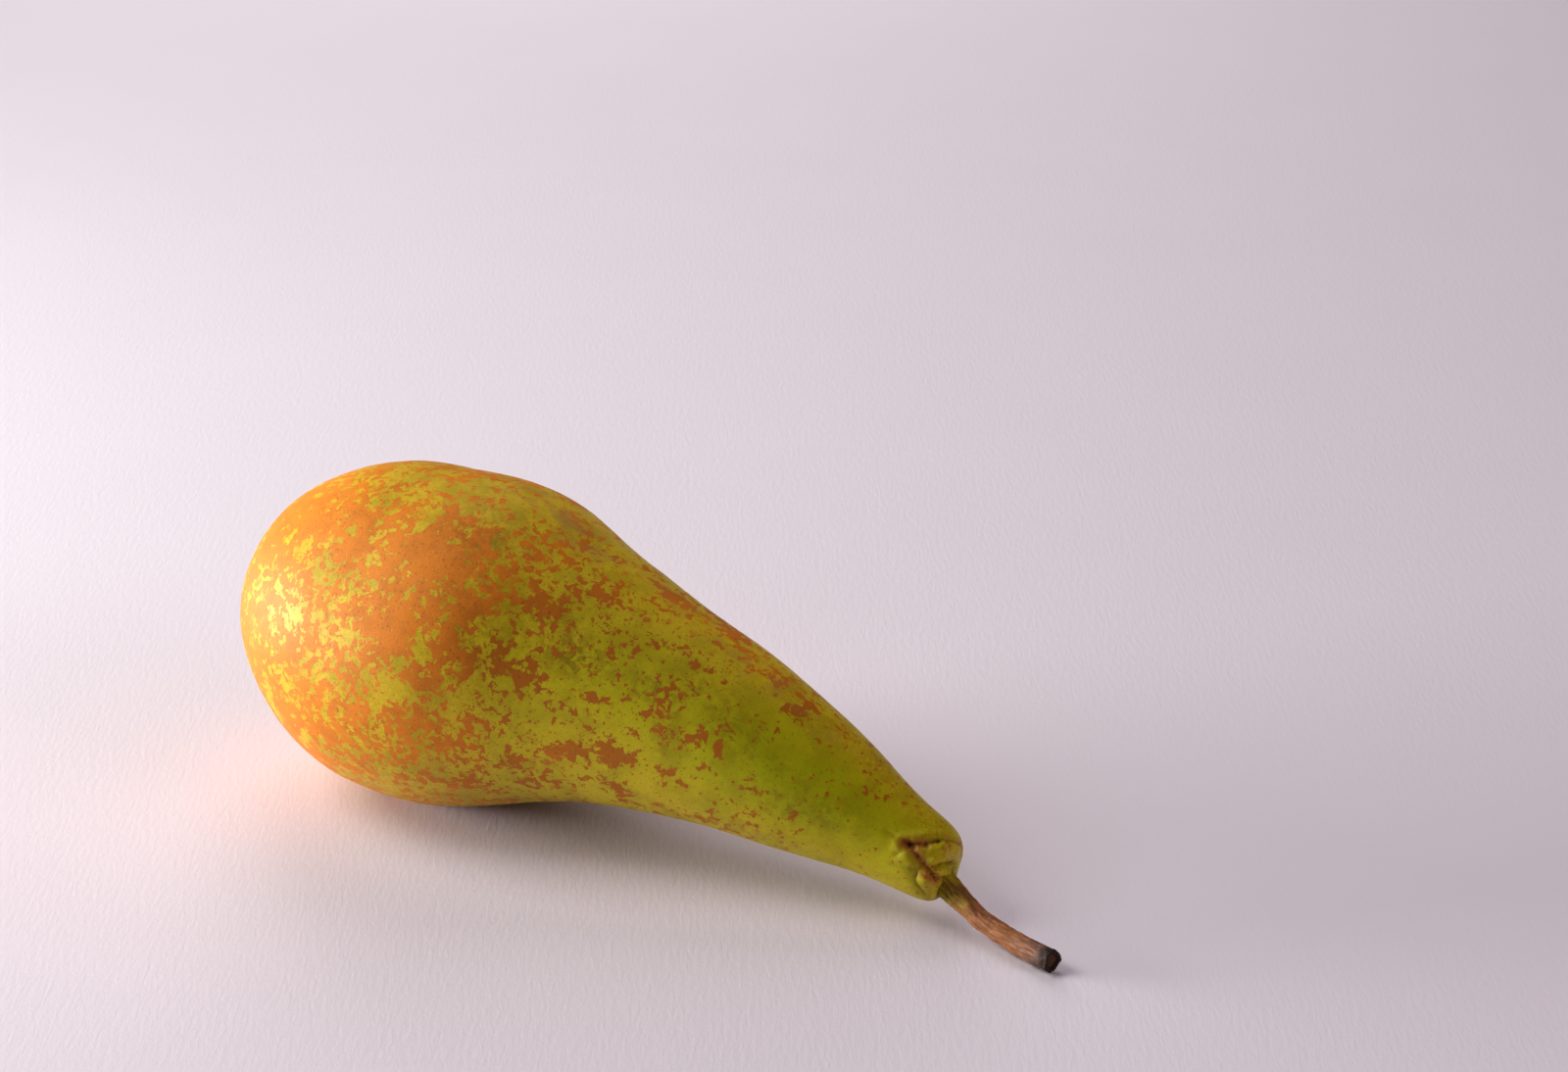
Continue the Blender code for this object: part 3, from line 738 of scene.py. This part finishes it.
PIT_FLOOR = 5.4
THREADS = 26
THREAD_STEPS = 18
THREAD_ROOT = 0.3             # above the floor
TUFT_RADIUS = 0.75
chance = np.random.default_rng(11)
threads = []
for _ in range(THREADS):
    share = np.linspace(0, 1, THREAD_STEPS)
    around = chance.uniform(0, 2 * math.pi)
    out_from_axis = math.sqrt(chance.uniform(0.02, 1)) * TUFT_RADIUS
    tall = chance.uniform(1.3, 2.4)
    lean = chance.uniform(-0.35, 0.45)
    curl = chance.uniform(-0.5, 0.5)
    reach = out_from_axis + lean * share ** 1.5
    spin = around + curl * share ** 2
    head = 0.10 + 0.09 * np.exp(-((share - 0.9) / 0.09) ** 2) + 0.07 * (1 - share) ** 3
    outward = THREAD_ROOT - PIT_FLOOR + tall * share
    threads.append(np.stack([reach * np.cos(spin), reach * np.sin(spin), outward, head], axis=1))

withered, tree, shader = new_material("withered_stamens", IOR=1.40)
place = in_millimetres(tree)
fibre = cloud(tree, place, 3.0, 4.0, 0.65)
thread = blend(tree, step_between(tree, fibre, 0.36, 0.64), (0.13, 0.065, 0.030), (0.38, 0.25, 0.15))
dark_head = step_between(tree, attribute(tree, "along"), 0.72, 0.9, 0.0, 0.7)
thread = blend(tree, dark_head, thread, (0.07, 0.035, 0.02))
roughness = step_between(tree, fibre, 0.3, 0.7, 0.75, 0.92)
finish_surface(tree, shader, thread, roughness, fibre, 0.0001, 0.6)
thread_recipe = withered_recipe("thread_recipe", withered)
tuft_mesh = grow("pear_dried_stamens", lines_mesh("thread_lines", threads), thread_recipe, {
    "Sides": 10, "Flatness": 0.8, "Ridge Depth": 0.05, "Ridge Scale": 2.0, "Wrinkle Depth": 0.22,
    "Wrinkle Scale": 1.6, "End Depth": 0.05, "Seed": 5.0})
by_the_eye(tuft_mesh, 0.0)
tuft = add_piece("pear_dried_stamens", tuft_mesh)
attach(tuft, "root")
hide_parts("dried_stamens")


# ---------------------------------------------------------------------------------- the stage
# Pale, slightly toothed paper under the fruit, with faint ribs that run away from the camera.
# It reaches past everything in view and isn't part of the fruit.

CAMERA_TURN = math.radians(29.6)
PAPER_REACH = 3.0
paper_mesh = bpy.data.meshes.new("paper")
sheet = bmesh.new()
bmesh.ops.create_grid(sheet, x_segments=2, y_segments=2, size=PAPER_REACH)
sheet.to_mesh(paper_mesh)
sheet.free()
paper, tree, shader = new_material("pale_paper", Specular_IOR_Level=0.25)
place = in_millimetres(tree)
turned = node(tree, 'ShaderNodeMapping', {"Vector": place, "Rotation": (0, 0, -CAMERA_TURN)})
laid = node(tree, 'ShaderNodeMapping', {"Vector": turned.outputs[0], "Scale": (1.0, 0.22, 1.0)})
ribs = cloud(tree, laid.outputs[0], 1.15, 2.0, 0.5, 0.4)
tooth = reckon(tree, 'MULTIPLY_ADD', cloud(tree, place, 1.6, 3.0, 0.6), 0.45, ribs)
tone = blend(tree, cloud(tree, place, 0.02, 2.0), (0.695, 0.632, 0.660), (0.715, 0.652, 0.680))
roughness = step_between(tree, tooth, 0.2, 0.8, 0.8, 0.95)
finish_surface(tree, shader, tone, roughness, tooth, 0.00026, 0.13)
floor = bpy.data.objects.new("paper_floor", paper_mesh)
bpy.context.scene.collection.objects.link(floor)
paper_mesh.materials.append(paper)


# ------------------------------------------------------------------------------ light and camera
# A wide, low window at the left with a smaller one above it, and dim light thrown back by the
# right wall, the far left wall and the ceiling. The camera looks down from the front right.

LAMP_AIM = (0.0, 0.0, 0.03)


def area_light(name, place, aim, width, tallness, watts, colour):
    lamp = bpy.data.lights.new(name, 'AREA')
    lamp.shape = 'RECTANGLE'
    lamp.size = width
    lamp.size_y = tallness
    lamp.energy = watts
    lamp.color = colour
    made = bpy.data.objects.new(name, lamp)
    made.location = place
    made.rotation_euler = (Vector(aim) - Vector(place)).to_track_quat('-Z', 'Y').to_euler()
    bpy.context.scene.collection.objects.link(made)
    return made


area_light("left_window", (-0.62, -0.27, 0.075), LAMP_AIM, 0.40, 0.15, 8.2, (1.0, 1.0, 1.0))
area_light("upper_window", (-0.42, -0.20, 0.48), LAMP_AIM, 0.35, 0.35, 2.7, (0.98, 0.99, 1.0))
for name, place, aim, size, watts, colour in [
    ("right_wall", (0.95, 0.0, 0.35), LAMP_AIM, 0.5, 3.5, (1.0, 0.80, 0.93)),
    ("far_left_wall", (-0.75, 0.9, 0.45), (0.0, 0.1, 0.03), 0.6, 5.3, (0.99, 0.955, 1.0)),
    ("ceiling", (-0.4, 0.6, 0.9), LAMP_AIM, 0.6, 3.6, (0.98, 0.93, 1.0)),
]:
    area_light(name, place, aim, size, size, watts, colour).visible_glossy = False
world = bpy.data.worlds.new("room")
world.use_nodes = True
room_light = world.node_tree.nodes["Background"]
room_light.inputs["Color"].default_value = (0.86, 0.84, 0.90, 1.0)
room_light.inputs["Strength"].default_value = 0.03
bpy.context.scene.world = world
bpy.context.scene.view_settings.view_transform = 'Standard'

CAMERA_AIM = Vector((0.0041, 0.0373, 0.0439))
CAMERA_DISTANCE = 0.582
CAMERA_RISE = math.radians(22.0)
lens = bpy.data.cameras.new("camera")
lens.lens = 76.5
lens.sensor_width = 36.0
lens.clip_start = 0.01
camera = bpy.data.objects.new("camera", lens)
level = math.cos(CAMERA_RISE)
back = Vector((math.sin(CAMERA_TURN) * level, -math.cos(CAMERA_TURN) * level, math.sin(CAMERA_RISE)))
camera.location = CAMERA_AIM + back * CAMERA_DISTANCE
camera.rotation_euler = (-back).to_track_quat('-Z', 'Y').to_euler()
bpy.context.scene.collection.objects.link(camera)
bpy.context.scene.camera = camera
